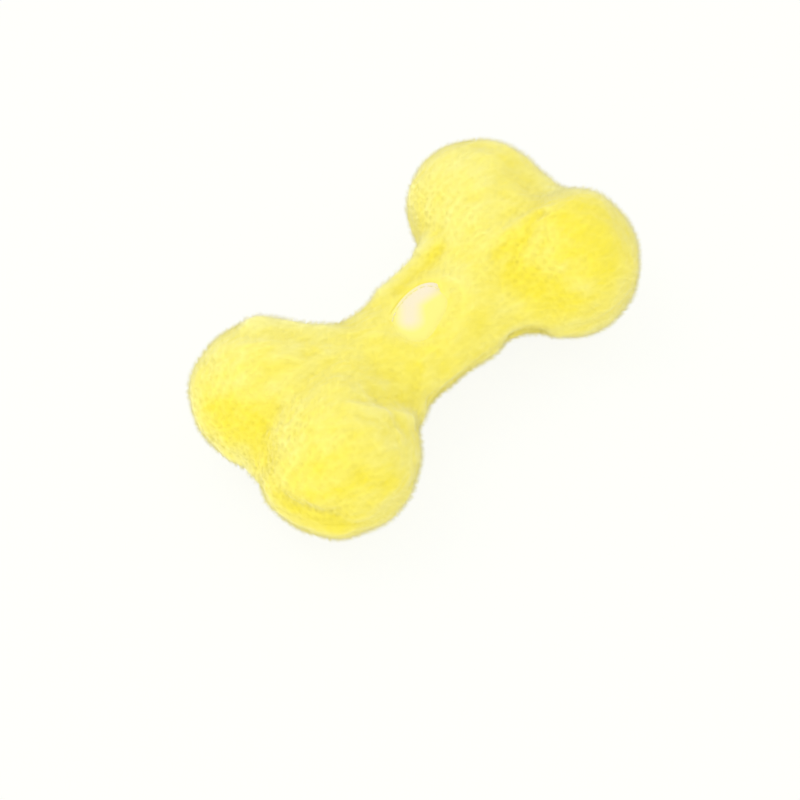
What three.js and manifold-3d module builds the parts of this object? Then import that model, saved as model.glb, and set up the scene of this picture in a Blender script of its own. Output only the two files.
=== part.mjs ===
// A plush bone for a dog to carry and squeeze. Lengths are millimetres. X runs along the bone, Z is up,
// and the bone lies on the plane z = 0 on its four lobes. Two bone-shaped panels of pile fabric are sewn
// together round the outline with their edges turned in, stuffed through a gap at one side of the shaft,
// and closed by hand. A squeaker lies in the middle, between two wads of stuffing.

import * as THREE from "three";
import { mergeVertices } from "three/addons/utils/BufferGeometryUtils.js";
import Module from "manifold-3d";

const wasm = await Module();
wasm.setup();

// The bone's form
const lobeReach = 59.2; // from the middle of the bone to a lobe's centre, along X
const lobeSpread = 20.3; // from the centre line to a lobe's centre, along Y
const lobeRadius = 29;
const lobeHalfHeight = 27;
const shaftHalfWidth = 24;
const shaftHalfHeight = 18;
const webHalfHeight = 21; // of the swelling between the two lobes of one end
const notchHalfHeight = 14; // where that swelling drops into the notch
const neckRadius = 19; // the hollow curve where the shaft meets a lobe
const notchRadius = 13; // the hollow curve between the two lobes of one end
const branchTurn = Math.PI / 4; // how much of the outline faces one branch of the form's spine
const flatDepth = 0.5; // how far a lobe's underside is flattened by its own weight

// How each lobe has settled: how far forward and to the left of its drawn place it lies, as shares of
// lobeRadius, and how wide and how high it is, as shares of its drawn width and of lobeHalfHeight
const farLeft = { forwardShare: -0.034, leftShare: 0.217, widthShare: 1.005, heightShare: 1 };
const farRight = { forwardShare: 0.08, leftShare: 0.166, widthShare: 1.01, heightShare: 1.2 };
const nearLeft = { forwardShare: 0.028, leftShare: 0.052, widthShare: 1, heightShare: 0.98 };
const nearRight = { forwardShare: -0.01, leftShare: 0.179, widthShare: 1.075, heightShare: 1.14 };

// The creases that filling leaves in the pile on top: the two ends of each, as shares of lobeReach along X
// and of lobeSpread along Y, and its half width and its depth, as shares of lobeRadius
const creaseShares = [
  // Beside the patch
  { fromShares: [-0.2, 0.66], toShares: [0.34, 0.54], widthShare: 0.21, depthShare: 0.052 },
  // Where the far lobes begin
  { fromShares: [0.42, -0.25], toShares: [0.61, -0.6], widthShare: 0.24, depthShare: 0.041 },
  // Between the far lobes
  { fromShares: [0.6, -0.25], toShares: [0.85, -0.44], widthShare: 0.19, depthShare: 0.032 },
  // On the far right lobe
  { fromShares: [0.88, -1.13], toShares: [1.27, -1.08], widthShare: 0.27, depthShare: 0.04 },
  // Where the near right lobe begins
  { fromShares: [-0.68, -0.79], toShares: [-0.2, -0.99], widthShare: 0.22, depthShare: 0.057 },
  // Across the near end
  { fromShares: [-1.33, 1.48], toShares: [-1.42, -0.49], widthShare: 0.245, depthShare: 0.048 },
  // Round the near right lobe
  { fromShares: [-1.47, -0.69], toShares: [-1.25, -1.97], widthShare: 0.22, depthShare: 0.034 },
];

// The cover
const backing = 1; // the knitted back of the pile fabric
const pile = 3;
const allowance = 5; // the edge of each panel that is turned in at the seam
const gap = 0.3; // between pieces that touch
const threadDiameter = 0.8;
const seamMargin = 2.2; // from the cover's wall in to the seam's thread
const turningMargin = 1.4; // from an end of the shaft's straight side to the stretch that is closed by hand
const closingStitches = 9;
const closingStitchDepth = 2.6;

// The patch on top of the shaft
const patchLength = 31;
const patchWidth = 20;
const patchCorner = 9;
const patchThickness = 0.7;
const patchDepth = 1.3; // from the tips of the pile down to the patch
const patchForward = -2.5; // the patch's centre, along X
const patchSideways = -1; // the patch's centre, along Y
const patchStitchInset = 1.4;
const patchThread = 0.6;

// The stuffing
const wadMargin = 4; // from a lobe's centre back to the end of the shaft's wads

// The squeaker
const bulbLength = 31;
const wadOverBulb = 3.4; // the stuffing between the bulb and the cover
const bulbDome = 7; // how long each rounded end of the bulb is
const bulbWall = 0.9;
const bulbNeckRadius = 4.6;
const bulbNeckLength = 6;
const whistleFlange = 1.4;
const whistleFlangeRadius = 5;
const whistleWall = 0.8;
const whistleMouth = 1.4; // the radius of the hole in the whistle's flange
const whistleLength = 9; // how far the whistle reaches into the bulb from its mouth
const reedWidth = 3;
const reedThickness = 0.4;
const reedFree = 5; // the stretch of the reed that vibrates
const reedClamp = 2.4; // the stretch that is held
const channelWidth = 1.2;
const channelDepth = 0.7;

// How finely the curves are cut into facets
const faceTurn = Math.PI / 10; // the widest turn in one facet of the outline, on the cover's face
const faceRings = 5; // facets from the top of the form down to its seam, on the cover's face
const innerTurn = Math.PI / 8; // the same two for what lies inside the cover
const innerRings = 4;
const saddleSteps = 3;
const arcSteps = 4;
const patchArcSteps = 3;
const smallSides = 20;
const threadSides = 6;
const seamSteps = 96;

// Sizes that follow from the ones above
const coverThickness = backing + pile;
const bulbRoom = Math.min(shaftHalfWidth - allowance, shaftHalfHeight - wadOverBulb);
const bulbRadius = bulbRoom - coverThickness - gap;
const bulbMouth = bulbLength / 2 + bulbNeckLength;
const seamHeight = lobeHalfHeight - flatDepth;
const overrun = lobeReach; // how far a cutting block reaches past what it cuts
const neckCentre = lobeReach - Math.sqrt(
  (lobeRadius + neckRadius) ** 2 - (shaftHalfWidth + neckRadius - lobeSpread) ** 2,
);
const notchCentre = lobeReach + Math.sqrt((lobeRadius + notchRadius) ** 2 - lobeSpread ** 2);
const junctionReach = lobeReach - 7 / 8 * lobeRadius; // where the spine branches
const notchRoot = lobeReach + lobeRadius / 2; // where its branches meet again
const wadStart = lobeReach - lobeRadius; // where the lobes' wads begin
const wadReach = lobeReach - wadMargin; // where the shaft's wads end
const turningGap = 2 * (neckCentre - turningMargin);
const settlingEnd = lobeReach - lobeRadius / 2; // from here on a lobe's settling is whole along X
const sideBlend = lobeRadius / 2; // how far one lobe's settling reaches past the centre line

// Each lobe's end along X and side along Y, as signs
const lobes = [
  { name: "far_left", end: 1, side: 1, ...farLeft },
  { name: "far_right", end: 1, side: -1, ...farRight },
  { name: "near_left", end: -1, side: 1, ...nearLeft },
  { name: "near_right", end: -1, side: -1, ...nearRight },
];

// Turns a closed three.js geometry into a solid that can be joined and cut.
function solidOf(geometry) {
  const bare = geometry.clone();
  bare.deleteAttribute("normal");
  bare.deleteAttribute("uv");
  const welded = mergeVertices(bare, gap / 1000);
  const corners = welded.index.array;
  const kept = [];
  for (let i = 0; i < corners.length; i += 3) {
    const [a, b, c] = [corners[i], corners[i + 1], corners[i + 2]];
    if (a !== b && b !== c && c !== a) kept.push(a, b, c);
  }
  return new wasm.Manifold(new wasm.Mesh({
    numProp: 3,
    vertProperties: new Float32Array(welded.attributes.position.array),
    triVerts: new Uint32Array(kept),
  }));
}

// Turns a solid back into a named three.js mesh with a material of its own.
function meshOf(name, solid, look) {
  const result = solid.getMesh();
  const geometry = new THREE.BufferGeometry();
  geometry.setAttribute("position", new THREE.BufferAttribute(result.vertProperties, 3));
  geometry.setIndex(new THREE.BufferAttribute(result.triVerts, 1));
  geometry.computeVertexNormals();
  const mesh = new THREE.Mesh(geometry, new THREE.MeshStandardMaterial(look));
  mesh.name = name;
  return mesh;
}

// A block across the whole bone between two heights.
function layer(low, high) {
  const across = 2 * (lobeReach + overrun);
  const block = new THREE.BoxGeometry(across, across, high - low);
  block.translate(0, 0, (low + high) / 2);
  return solidOf(block);
}

// The arcs of the sewn outline seen from above, each touching the next, at an inset from the bone's edge.
// They start at the turning gap, on the left side of the shaft, and run round by the near end.
function outlineArcs(inset) {
  const radius = lobeRadius - inset;
  const neck = neckRadius + inset;
  const notch = notchRadius + inset;
  const side = shaftHalfWidth + neckRadius;
  const neckTurn = Math.atan2(side - lobeSpread, lobeReach - neckCentre);
  const notchTurn = Math.atan2(lobeSpread, notchCentre - lobeReach);
  const right = Math.PI / 2;
  const back = Math.PI;
  return [
    [-neckCentre, side, neck, -right, neckTurn - back],
    [-lobeReach, lobeSpread, radius, neckTurn, back + notchTurn],
    [-notchCentre, 0, notch, notchTurn, -notchTurn],
    [-lobeReach, -lobeSpread, radius, back - notchTurn, 2 * back - neckTurn],
    [-neckCentre, -side, neck, back - neckTurn, right],
    [neckCentre, -side, neck, right, neckTurn],
    [lobeReach, -lobeSpread, radius, back + neckTurn, 2 * back + notchTurn],
    [notchCentre, 0, notch, back + notchTurn, back - notchTurn],
    [lobeReach, lobeSpread, radius, -notchTurn, back - neckTurn],
    [neckCentre, side, neck, -neckTurn, -right],
  ].map(([x, y, size, from, to]) => ({ x, y, radius: size, from, to }));
}

// Where filling has moved a place of the drawn bone, seen from above: the lobes settle, each by its own
// amount, and the shaft's middle stays.
function settled(x, y) {
  let [movedX, movedY] = [x, y];
  for (const { end, side, forwardShare, leftShare, widthShare } of lobes) {
    const along = THREE.MathUtils.smoothstep(end * x, neckCentre, settlingEnd);
    const weight = along * THREE.MathUtils.smoothstep(side * y, -sideBlend, sideBlend);
    movedX += weight * ((x - end * lobeReach) * (widthShare - 1) + lobeRadius * forwardShare);
    movedY += weight * ((y - side * lobeSpread) * (widthShare - 1) + lobeRadius * leftShare);
  }
  return [movedX, movedY];
}

// How deep the creases are at a place of the settled form, seen from above. They are in the pile alone,
// so they fade towards the inner side of the cover.
function creaseDepth(x, y, inset) {
  const place = new THREE.Vector3(x, y, 0);
  let depth = 0;
  for (const { fromShares, toShares, widthShare, depthShare } of creaseShares) {
    const line = new THREE.Line3(
      new THREE.Vector3(lobeReach * fromShares[0], lobeSpread * fromShares[1], 0),
      new THREE.Vector3(lobeReach * toShares[0], lobeSpread * toShares[1], 0),
    );
    const away = line.closestPointToPoint(place, true, new THREE.Vector3()).distanceTo(place);
    depth += lobeRadius * depthShare * Math.exp(-((away / lobeRadius / widthShare) ** 2));
  }
  return depth * Math.max(1 - inset / coverThickness, 0);
}

function arcFacets(arc, facetTurn) {
  return Math.ceil(Math.abs(arc.to - arc.from) / facetTurn);
}

function outlinePoints(inset) {
  const points = [];
  for (const arc of outlineArcs(inset)) {
    const { x, y, radius, from, to } = arc;
    const curve = new THREE.EllipseCurve(x, y, radius, radius, from, to, to < from);
    for (const point of curve.getPoints(arcFacets(arc, innerTurn))) {
      points.push(new THREE.Vector2(...settled(point.x, point.y)));
    }
  }
  return points;
}

// The height of the stuffing above the seam along the bone's centre line. It swells between the lobes
// and drops into the notch.
function coreHeight(x) {
  const swell = THREE.MathUtils.smoothstep(x, neckCentre, lobeReach);
  const drop = THREE.MathUtils.smoothstep(x, lobeReach, notchRoot);
  const swollen = THREE.MathUtils.lerp(shaftHalfHeight, webHalfHeight, swell);
  return THREE.MathUtils.lerp(swollen, notchHalfHeight, drop);
}

// One quarter of the form as ribs that run from a root on the spine out to the seam, listed from the
// middle of the shaft to the notch. The spine follows the centre line to the junction, branches to the
// lobe's centre, stays there while the ribs fan out, and comes back to the centre line at the notch.
// A rib's lobe share says how far its root has risen from the centre line's height to the lobe's.
function quarterRibs(inset, facetTurn) {
  const [neckArc, lobeArc, notchArc] = outlineArcs(inset).slice(-3).reverse();
  const ribs = [{ edge: [0, shaftHalfWidth - inset], root: [0, 0], lobeShare: 0 }];
  const [neckSteps, lobeSteps, notchSteps] = [neckArc, lobeArc, notchArc].map(
    (arc) => arcFacets(arc, facetTurn),
  );
  const pointOn = (arc, share) => {
    const turn = THREE.MathUtils.lerp(arc.to, arc.from, share);
    return [arc.x + arc.radius * Math.cos(turn), arc.y + arc.radius * Math.sin(turn)];
  };
  for (let i = 0; i < neckSteps; i += 1) {
    const share = i / neckSteps;
    const rootX = THREE.MathUtils.lerp(neckCentre, junctionReach, share);
    ribs.push({ edge: pointOn(neckArc, share), root: [rootX, 0], lobeShare: 0 });
  }
  const span = Math.abs(lobeArc.to - lobeArc.from);
  for (let i = 0; i < lobeSteps; i += 1) {
    const turned = span * i / lobeSteps;
    const out = Math.min(turned / branchTurn, 1);
    const home = Math.max((turned - span) / branchTurn + 1, 0);
    const base = home > 0 ? notchRoot : junctionReach;
    const reach = home > 0 ? 1 - home : out;
    ribs.push({
      edge: pointOn(lobeArc, turned / span),
      root: [THREE.MathUtils.lerp(base, lobeReach, reach), lobeSpread * reach],
      lobeShare: THREE.MathUtils.smoothstep(reach, 0, 1),
    });
  }
  const halfSteps = Math.ceil(notchSteps / 2);
  for (let i = 0; i <= halfSteps; i += 1) {
    ribs.push({ edge: pointOn(notchArc, i / halfSteps / 2), root: [notchRoot, 0], lobeShare: 0 });
  }
  return ribs;
}

// The whole stuffed form, shrunk by an inset on every side: a quarter of an oval along each rib, above
// and below the seam, and a saddle across each end between its two branches of the spine.
function boneSolid(inset, facetTurn, ribRings) {
  const ribs = quarterRibs(inset, facetTurn);
  const positions = [];
  const quad = (a, b, c, d, flip) => {
    const around = flip ? [a, c, b, a, d, c] : [a, b, c, a, c, d];
    for (const corner of around) positions.push(...corner);
  };
  for (const { end, side, heightShare } of lobes) {
    for (const up of [1, -1]) {
      const lift = (x, share) => {
        const lobeHeight = up > 0 ? lobeHalfHeight * heightShare : lobeHalfHeight;
        return THREE.MathUtils.lerp(coreHeight(x), lobeHeight, share) - inset;
      };
      const onRib = ({ edge, root, lobeShare }, ring) => {
        const turn = ring / ribRings * Math.PI / 2;
        const out = Math.sin(turn);
        const rise = ring < ribRings ? Math.cos(turn) : 0;
        const place = settled(
          end * THREE.MathUtils.lerp(root[0], edge[0], out),
          side * THREE.MathUtils.lerp(root[1], edge[1], out),
        );
        const crease = up > 0 ? creaseDepth(...place, inset) * THREE.MathUtils.smoothstep(2 * rise, 0, 1) : 0;
        return [...place, seamHeight + up * lift(root[0], lobeShare) * rise - crease];
      };
      const onSaddle = ({ root, lobeShare }, step) => {
        const share = step / saddleSteps;
        const rise = lobeShare * THREE.MathUtils.smoothstep(share, 0, 1);
        const place = settled(end * root[0], side * root[1] * share);
        const crease = up > 0 ? creaseDepth(...place, inset) : 0;
        return [...place, seamHeight + up * lift(root[0], rise) - crease];
      };
      const flip = end * side * up > 0;
      for (let i = 0; i + 1 < ribs.length; i += 1) {
        const [here, next] = [ribs[i], ribs[i + 1]];
        for (let ring = 0; ring < ribRings; ring += 1) {
          quad(onRib(here, ring), onRib(here, ring + 1), onRib(next, ring + 1), onRib(next, ring), flip);
        }
        for (let step = 0; step < saddleSteps; step += 1) {
          quad(
            onSaddle(here, step), onSaddle(here, step + 1),
            onSaddle(next, step + 1), onSaddle(next, step), flip,
          );
        }
      }
    }
  }
  const geometry = new THREE.BufferGeometry();
  geometry.setAttribute("position", new THREE.Float32BufferAttribute(positions, 3));
  return solidOf(geometry);
}

const faceForm = (inset) => boneSolid(inset, faceTurn, faceRings);
const innerForm = (inset) => boneSolid(inset, innerTurn, innerRings);

// A flat ring that follows the outline between two insets.
function outlineRing(outer, inner, low, high) {
  const ring = new THREE.Shape(outlinePoints(outer));
  ring.holes.push(new THREE.Path(outlinePoints(inner)));
  const plate = new THREE.ExtrudeGeometry(ring, { depth: high - low, bevelEnabled: false });
  plate.translate(0, 0, low);
  return solidOf(plate);
}

// A thread along a path through points at one height.
function threadAlong(points, diameter, steps) {
  const path = new THREE.CatmullRomCurve3(points.map((p) => new THREE.Vector3(p.x, p.y, seamHeight)));
  const section = new THREE.Shape();
  section.absarc(0, 0, diameter / 2, 0, 2 * Math.PI);
  return solidOf(new THREE.ExtrudeGeometry(section, {
    steps, curveSegments: threadSides / 2, bevelEnabled: false, extrudePath: path,
  }));
}

// The covers: two shells of pile fabric with their edges turned in above and below the seam.
const threadRoom = threadDiameter / 2 + gap;
const shell = faceForm(0).subtract(innerForm(coverThickness));
const turnedOuter = coverThickness - backing;
const turnedInner = coverThickness + allowance;
const turnedFar = threadRoom + backing;
const turnedTop = outlineRing(turnedOuter, turnedInner, seamHeight + threadRoom, seamHeight + turnedFar);
const turnedBottom = outlineRing(turnedOuter, turnedInner, seamHeight - turnedFar, seamHeight - threadRoom);
const topHalf = layer(seamHeight + gap / 2, seamHeight + overrun);
const bottomHalf = layer(0, seamHeight - gap / 2);

// The patch follows the top of the shaft, a little below the tips of the pile.
function patchPrism(inset) {
  const length = patchLength - 2 * inset;
  const width = patchWidth - 2 * inset;
  const corner = patchCorner - inset;
  const [alongX, alongY] = [length / 2 - corner, width / 2 - corner];
  const edge = new THREE.Shape();
  edge.absarc(alongX, alongY, corner, 0, Math.PI / 2);
  edge.absarc(-alongX, alongY, corner, Math.PI / 2, Math.PI);
  edge.absarc(-alongX, -alongY, corner, Math.PI, 3 * Math.PI / 2);
  edge.absarc(alongX, -alongY, corner, 3 * Math.PI / 2, 2 * Math.PI);
  const prism = new THREE.ExtrudeGeometry(edge, {
    depth: overrun, curveSegments: patchArcSteps, bevelEnabled: false,
  });
  prism.translate(patchForward, patchSideways, seamHeight);
  return solidOf(prism);
}

const patchFloor = patchDepth + patchThickness;
const patchThreadDepth = patchDepth - gap;
const patch = patchPrism(0).intersect(faceForm(patchDepth)).subtract(faceForm(patchFloor));
const patchSeat = patchPrism(-gap).subtract(faceForm(patchFloor + gap));
const stitchLine = patchPrism(patchStitchInset).subtract(patchPrism(patchStitchInset + patchThread));
const patchSewing = stitchLine
  .intersect(faceForm(patchThreadDepth - patchThread))
  .subtract(faceForm(patchThreadDepth));

const coverTop = shell.intersect(topHalf).add(turnedTop).subtract(patchSeat);
const coverBottom = shell.intersect(bottomHalf).add(turnedBottom);

// The seam's thread lies between the turned edges, just inside the wall. It stops at the turning gap,
// which a second thread closes in a zigzag.
const seamInset = coverThickness + seamMargin;
const seamSide = shaftHalfWidth - seamInset;
const seamPath = [
  new THREE.Vector2(-turningGap / 2, seamSide),
  ...outlinePoints(seamInset),
  new THREE.Vector2(turningGap / 2, seamSide),
];
const seamThread = threadAlong(seamPath, threadDiameter, seamSteps);
const closingPath = [];
const closingSpan = turningGap / 2 - threadDiameter - gap;
for (let i = 0; i <= 2 * closingStitches; i += 1) {
  const along = closingSpan * (i / closingStitches - 1);
  closingPath.push(new THREE.Vector2(along, seamSide - (i % 2 ? closingStitchDepth : 0)));
}
const closingThread = threadAlong(closingPath, threadDiameter, closingPath.length * 3);

// The squeaker lies along X in the middle of the shaft. Profiles run from the closed end to the neck.
function bulbCurve(grow) {
  const radius = bulbRadius + grow;
  const dome = bulbDome + grow;
  const neck = bulbNeckRadius + grow;
  const shoulder = bulbLength / 2 - bulbDome;
  const neckTurn = Math.acos(neck / radius);
  const points = [];
  for (let i = 0; i <= arcSteps; i += 1) {
    const turn = (i / arcSteps - 1) * Math.PI / 2;
    points.push(new THREE.Vector2(i ? radius * Math.cos(turn) : 0, dome * Math.sin(turn) - shoulder));
  }
  for (let i = 0; i <= arcSteps; i += 1) {
    const turn = i / arcSteps * neckTurn;
    points.push(new THREE.Vector2(radius * Math.cos(turn), dome * Math.sin(turn) + shoulder));
  }
  points.push(new THREE.Vector2(neck, bulbMouth));
  return points;
}

function turnedAlongX(points) {
  const turned = new THREE.LatheGeometry(points, smallSides);
  turned.rotateZ(-Math.PI / 2);
  turned.translate(0, 0, seamHeight);
  return turned;
}

const bulb = solidOf(turnedAlongX([...bulbCurve(0), ...bulbCurve(-bulbWall).reverse()]));
const flangeStart = bulbMouth + gap;
const flangeEnd = flangeStart + whistleFlange;
const squeakerRoom = solidOf(turnedAlongX([
  ...bulbCurve(gap),
  new THREE.Vector2(whistleFlangeRadius + gap, bulbMouth),
  new THREE.Vector2(whistleFlangeRadius + gap, flangeEnd + gap),
  new THREE.Vector2(0, flangeEnd + gap),
]));

// The whistle: a flanged tube in the bulb's neck, open inwards.
const barrelRadius = bulbNeckRadius - bulbWall - gap;
const boreRadius = barrelRadius - whistleWall;
const barrelStart = bulbMouth - whistleLength;
const whistleBody = solidOf(turnedAlongX([
  [boreRadius, barrelStart], [barrelRadius, barrelStart], [barrelRadius, flangeStart],
  [whistleFlangeRadius, flangeStart], [whistleFlangeRadius, flangeEnd],
  [whistleMouth, flangeEnd], [whistleMouth, flangeStart], [boreRadius, flangeStart],
  [boreRadius, barrelStart],
].map(([radius, along]) => new THREE.Vector2(radius, along))));

// A block in the frame of the squeaker: its ends along X, its width about the middle, its two heights.
function squeakerBlock(from, to, width, low, high) {
  const block = new THREE.BoxGeometry(to - from, width, high - low);
  block.translate((from + to) / 2, 0, seamHeight + (low + high) / 2);
  return solidOf(block);
}

// The reed block fills the bore: a round clamp with a slit for the reed, and a half-round shank
// with an air channel under the reed's free end.
const blockRadius = boreRadius - gap;
const blockEnd = flangeStart - gap;
const clampStart = blockEnd - reedClamp;
const slit = reedThickness / 2 + gap;
const blockRound = solidOf(turnedAlongX([
  new THREE.Vector2(0, barrelStart), new THREE.Vector2(blockRadius, barrelStart),
  new THREE.Vector2(blockRadius, blockEnd), new THREE.Vector2(0, blockEnd),
]));
const reedBlock = blockRound
  .subtract(squeakerBlock(barrelStart - overrun, clampStart, overrun, -slit, overrun))
  .subtract(squeakerBlock(barrelStart - overrun, overrun, reedWidth + 2 * gap, -slit, slit))
  .subtract(squeakerBlock(barrelStart - overrun, overrun, channelWidth, -slit - channelDepth, 0));
const reed = squeakerBlock(clampStart - reedFree, blockEnd, reedWidth, -reedThickness / 2, reedThickness / 2);

// The stuffing: two wads in the shaft, shaped round the squeaker, and one in each lobe, all cut clear of
// the turned edges of the covers.
const wadInset = coverThickness + gap;
const seamRoom = outlineRing(
  coverThickness - backing, turnedInner + gap,
  seamHeight - turnedFar - gap, seamHeight + turnedFar + gap,
);

// The form of the shaft's wads: an oval section with a rounded end that reaches in between the lobes.
function shaftWadForm(inset) {
  const [radius, end] = [shaftHalfWidth - inset, wadReach - inset];
  const profile = [];
  for (let i = 0; i <= arcSteps; i += 1) {
    const turn = i / arcSteps * Math.PI / 2;
    profile.push(new THREE.Vector2(
      i < arcSteps ? radius * Math.cos(turn) : 0,
      neckCentre + (end - neckCentre) * Math.sin(turn),
    ));
  }
  const mirrored = profile.map((point) => new THREE.Vector2(point.x, -point.y)).reverse();
  const form = turnedAlongX([...mirrored, ...profile]);
  const places = form.attributes.position;
  for (let i = 0; i < places.count; i += 1) {
    const rise = (places.getZ(i) - seamHeight) * (shaftHalfHeight - inset) / radius;
    places.setXYZ(i, ...settled(places.getX(i), places.getY(i)), seamHeight + rise);
  }
  return solidOf(form);
}

const shaftWad = shaftWadForm(wadInset + gap).subtract(squeakerRoom).subtract(seamRoom);
const lobeWads = innerForm(wadInset).subtract(shaftWadForm(coverThickness)).subtract(seamRoom);

function lobeWad({ end, side }) {
  const block = new THREE.BoxGeometry(overrun, overrun, 2 * overrun);
  block.translate(end * (wadStart + overrun / 2), side * (gap + overrun) / 2, seamHeight);
  return lobeWads.intersect(solidOf(block));
}

const plush = { color: 0xfbf06e, roughness: 1, metalness: 0 };
const fibre = { color: 0xf7f6f2, roughness: 1, metalness: 0 };
const thread = { color: 0xf6e65a, roughness: 0.8, metalness: 0 };
const cloth = { color: 0xfaf0d2, roughness: 0.9, metalness: 0 };
const softPlastic = { color: 0xf2f1ea, roughness: 0.35, metalness: 0 };
const hardPlastic = { color: 0xfafafa, roughness: 0.3, metalness: 0 };
const film = { color: 0xe9e4d4, roughness: 0.25, metalness: 0 };

const covers = new THREE.Group();
covers.add(meshOf("cover_top", coverTop, plush));
covers.add(meshOf("cover_bottom", coverBottom, plush));
covers.add(meshOf("seam_thread", seamThread, thread));
covers.add(meshOf("closing_thread", closingThread, thread));
covers.add(meshOf("patch", patch, cloth));
covers.add(meshOf("patch_thread", patchSewing, thread));

const stuffing = new THREE.Group();
stuffing.add(meshOf("stuffing_shaft_top", shaftWad.intersect(topHalf), fibre));
stuffing.add(meshOf("stuffing_shaft_bottom", shaftWad.intersect(bottomHalf), fibre));
for (const lobe of lobes) stuffing.add(meshOf(`stuffing_${lobe.name}`, lobeWad(lobe), fibre));

const squeaker = new THREE.Group();
squeaker.add(meshOf("squeaker_bulb", bulb, softPlastic));
squeaker.add(meshOf("whistle_body", whistleBody, hardPlastic));
squeaker.add(meshOf("reed_block", reedBlock, hardPlastic));
squeaker.add(meshOf("reed", reed, film));

const bone = new THREE.Group();
bone.add(covers, stuffing, squeaker);

// The origin is the middle of the settled outline.
const middle = new THREE.Box3().setFromObject(covers).getCenter(new THREE.Vector3());
bone.traverse((piece) => {
  if (piece.geometry) piece.geometry.translate(-middle.x, -middle.y, 0);
});

export default bone;
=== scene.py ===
import math

import bmesh
import bpy
import numpy as np
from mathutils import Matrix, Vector, noise
from mathutils.bvhtree import BVHTree


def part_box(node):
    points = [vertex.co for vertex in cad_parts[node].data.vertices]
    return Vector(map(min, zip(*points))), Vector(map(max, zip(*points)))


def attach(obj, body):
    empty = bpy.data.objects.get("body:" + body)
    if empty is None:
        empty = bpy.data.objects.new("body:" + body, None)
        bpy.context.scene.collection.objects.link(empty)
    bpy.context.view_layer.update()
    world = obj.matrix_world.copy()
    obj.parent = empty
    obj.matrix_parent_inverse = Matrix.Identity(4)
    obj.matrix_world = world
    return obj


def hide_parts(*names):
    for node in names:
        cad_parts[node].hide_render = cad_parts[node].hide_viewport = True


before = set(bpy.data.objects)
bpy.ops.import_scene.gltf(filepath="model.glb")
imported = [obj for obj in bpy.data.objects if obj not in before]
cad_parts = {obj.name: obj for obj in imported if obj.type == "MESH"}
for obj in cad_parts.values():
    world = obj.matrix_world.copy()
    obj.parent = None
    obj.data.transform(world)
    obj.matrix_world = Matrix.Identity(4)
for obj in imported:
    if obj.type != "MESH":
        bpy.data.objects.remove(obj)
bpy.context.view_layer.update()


# The squeaker: a blow-moulded bulb of soft plastic, with a hard whistle pressed into its neck. The
# whistle holds a half-round block, and a thin reed of film is clamped against it. All four pieces are
# the CAD's own solids, and get the finish of moulded plastic here.
MM = 0.001
GLOW_RADIUS = (2 * MM, 2 * MM, 1.5 * MM)

# Each plastic's clean and worn shade, roughness and glow from within, then the scale of its mottling and
# where that turns from one shade to the other, its relief, and the nodes that are made of it
PLASTICS = {
    "soft_plastic": {
        "shades": ((0.90, 0.88, 0.80), (0.84, 0.81, 0.71)), "roughness": 0.38, "glow": 0.15,
        "mottling": 180, "turns": (0.35, 0.7), "relief": 0.15 * MM, "nodes": ["squeaker_bulb"],
    },
    "hard_plastic": {
        "shades": ((0.93, 0.93, 0.92), (0.85, 0.85, 0.83)), "roughness": 0.3, "glow": 0,
        "mottling": 420, "turns": (0.3, 0.75), "relief": 0.04 * MM, "nodes": ["whistle_body", "reed_block"],
    },
    "reed_film": {
        "shades": ((0.80, 0.76, 0.64), (0.70, 0.65, 0.52)), "roughness": 0.22, "glow": 0,
        "mottling": 900, "turns": (0.3, 0.7), "relief": 0.02 * MM, "nodes": ["reed"],
    },
}


def new_finish(name, colour, roughness, **values):
    """A material, and its shader with inputs set by name, where spaces are written as underscores."""
    finish = bpy.data.materials.new(name)
    finish.use_nodes = True
    shader = finish.node_tree.nodes["Principled BSDF"]
    shader.inputs["Base Color"].default_value = (*colour, 1)
    shader.inputs["Roughness"].default_value = roughness
    for socket, value in values.items():
        shader.inputs[socket.replace("_", " ")].default_value = value
    return finish, shader


def add_node(tree, kind, feeds=None, **settings):
    """A node with its settings, and its inputs fed by name or number with values or other outputs."""
    node = tree.nodes.new(kind)
    for name, value in settings.items():
        setattr(node, name, value)
    for socket, value in (feeds or {}).items():
        if isinstance(value, bpy.types.NodeSocket):
            tree.links.new(value, node.inputs[socket])
        else:
            node.inputs[socket].default_value = value
    return node


def soft_noise(tree, **values):
    """Noise that is fixed to the object."""
    place = add_node(tree, "ShaderNodeTexCoord").outputs["Object"]
    return add_node(tree, "ShaderNodeTexNoise", {"Vector": place, **values}).outputs["Fac"]


def mottled(shader, shades, turns, **values):
    """Colours a shader by noise between two shades, and gives that noise."""
    tree = shader.id_data
    grain = soft_noise(tree, Detail=4.0, Roughness=0.6, **values)
    ramp = add_node(tree, "ShaderNodeValToRGB", {"Fac": grain})
    for stop, where, shade in zip(ramp.color_ramp.elements, turns, shades):
        stop.position = where
        stop.color = (*shade, 1)
    tree.links.new(ramp.outputs["Color"], shader.inputs["Base Color"])
    return grain


def raised(shader, height, distance):
    """Bends a shader's normals by a height."""
    tree = shader.id_data
    bump = add_node(tree, "ShaderNodeBump", {"Strength": 1.0, "Distance": distance, "Height": height})
    tree.links.new(bump.outputs["Normal"], shader.inputs["Normal"])


for name, plastic in PLASTICS.items():
    finish, shader = new_finish(name, plastic["shades"][0], plastic["roughness"],
                                Subsurface_Weight=plastic["glow"], Subsurface_Radius=GLOW_RADIUS)
    grain = mottled(shader, plastic["shades"], plastic["turns"], Scale=plastic["mottling"])
    raised(shader, grain, plastic["relief"])
    for node in plastic["nodes"]:
        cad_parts[node].data.materials.clear()
        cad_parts[node].data.materials.append(finish)


# The folds: what filling and handling leave in the cloth. The CAD's solids have the form of the stuffed
# lobes. In the photograph the cloth on them has folds and dents too, and every soft piece here takes
# them from this one table, so that cover and stuffing keep together.

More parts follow.
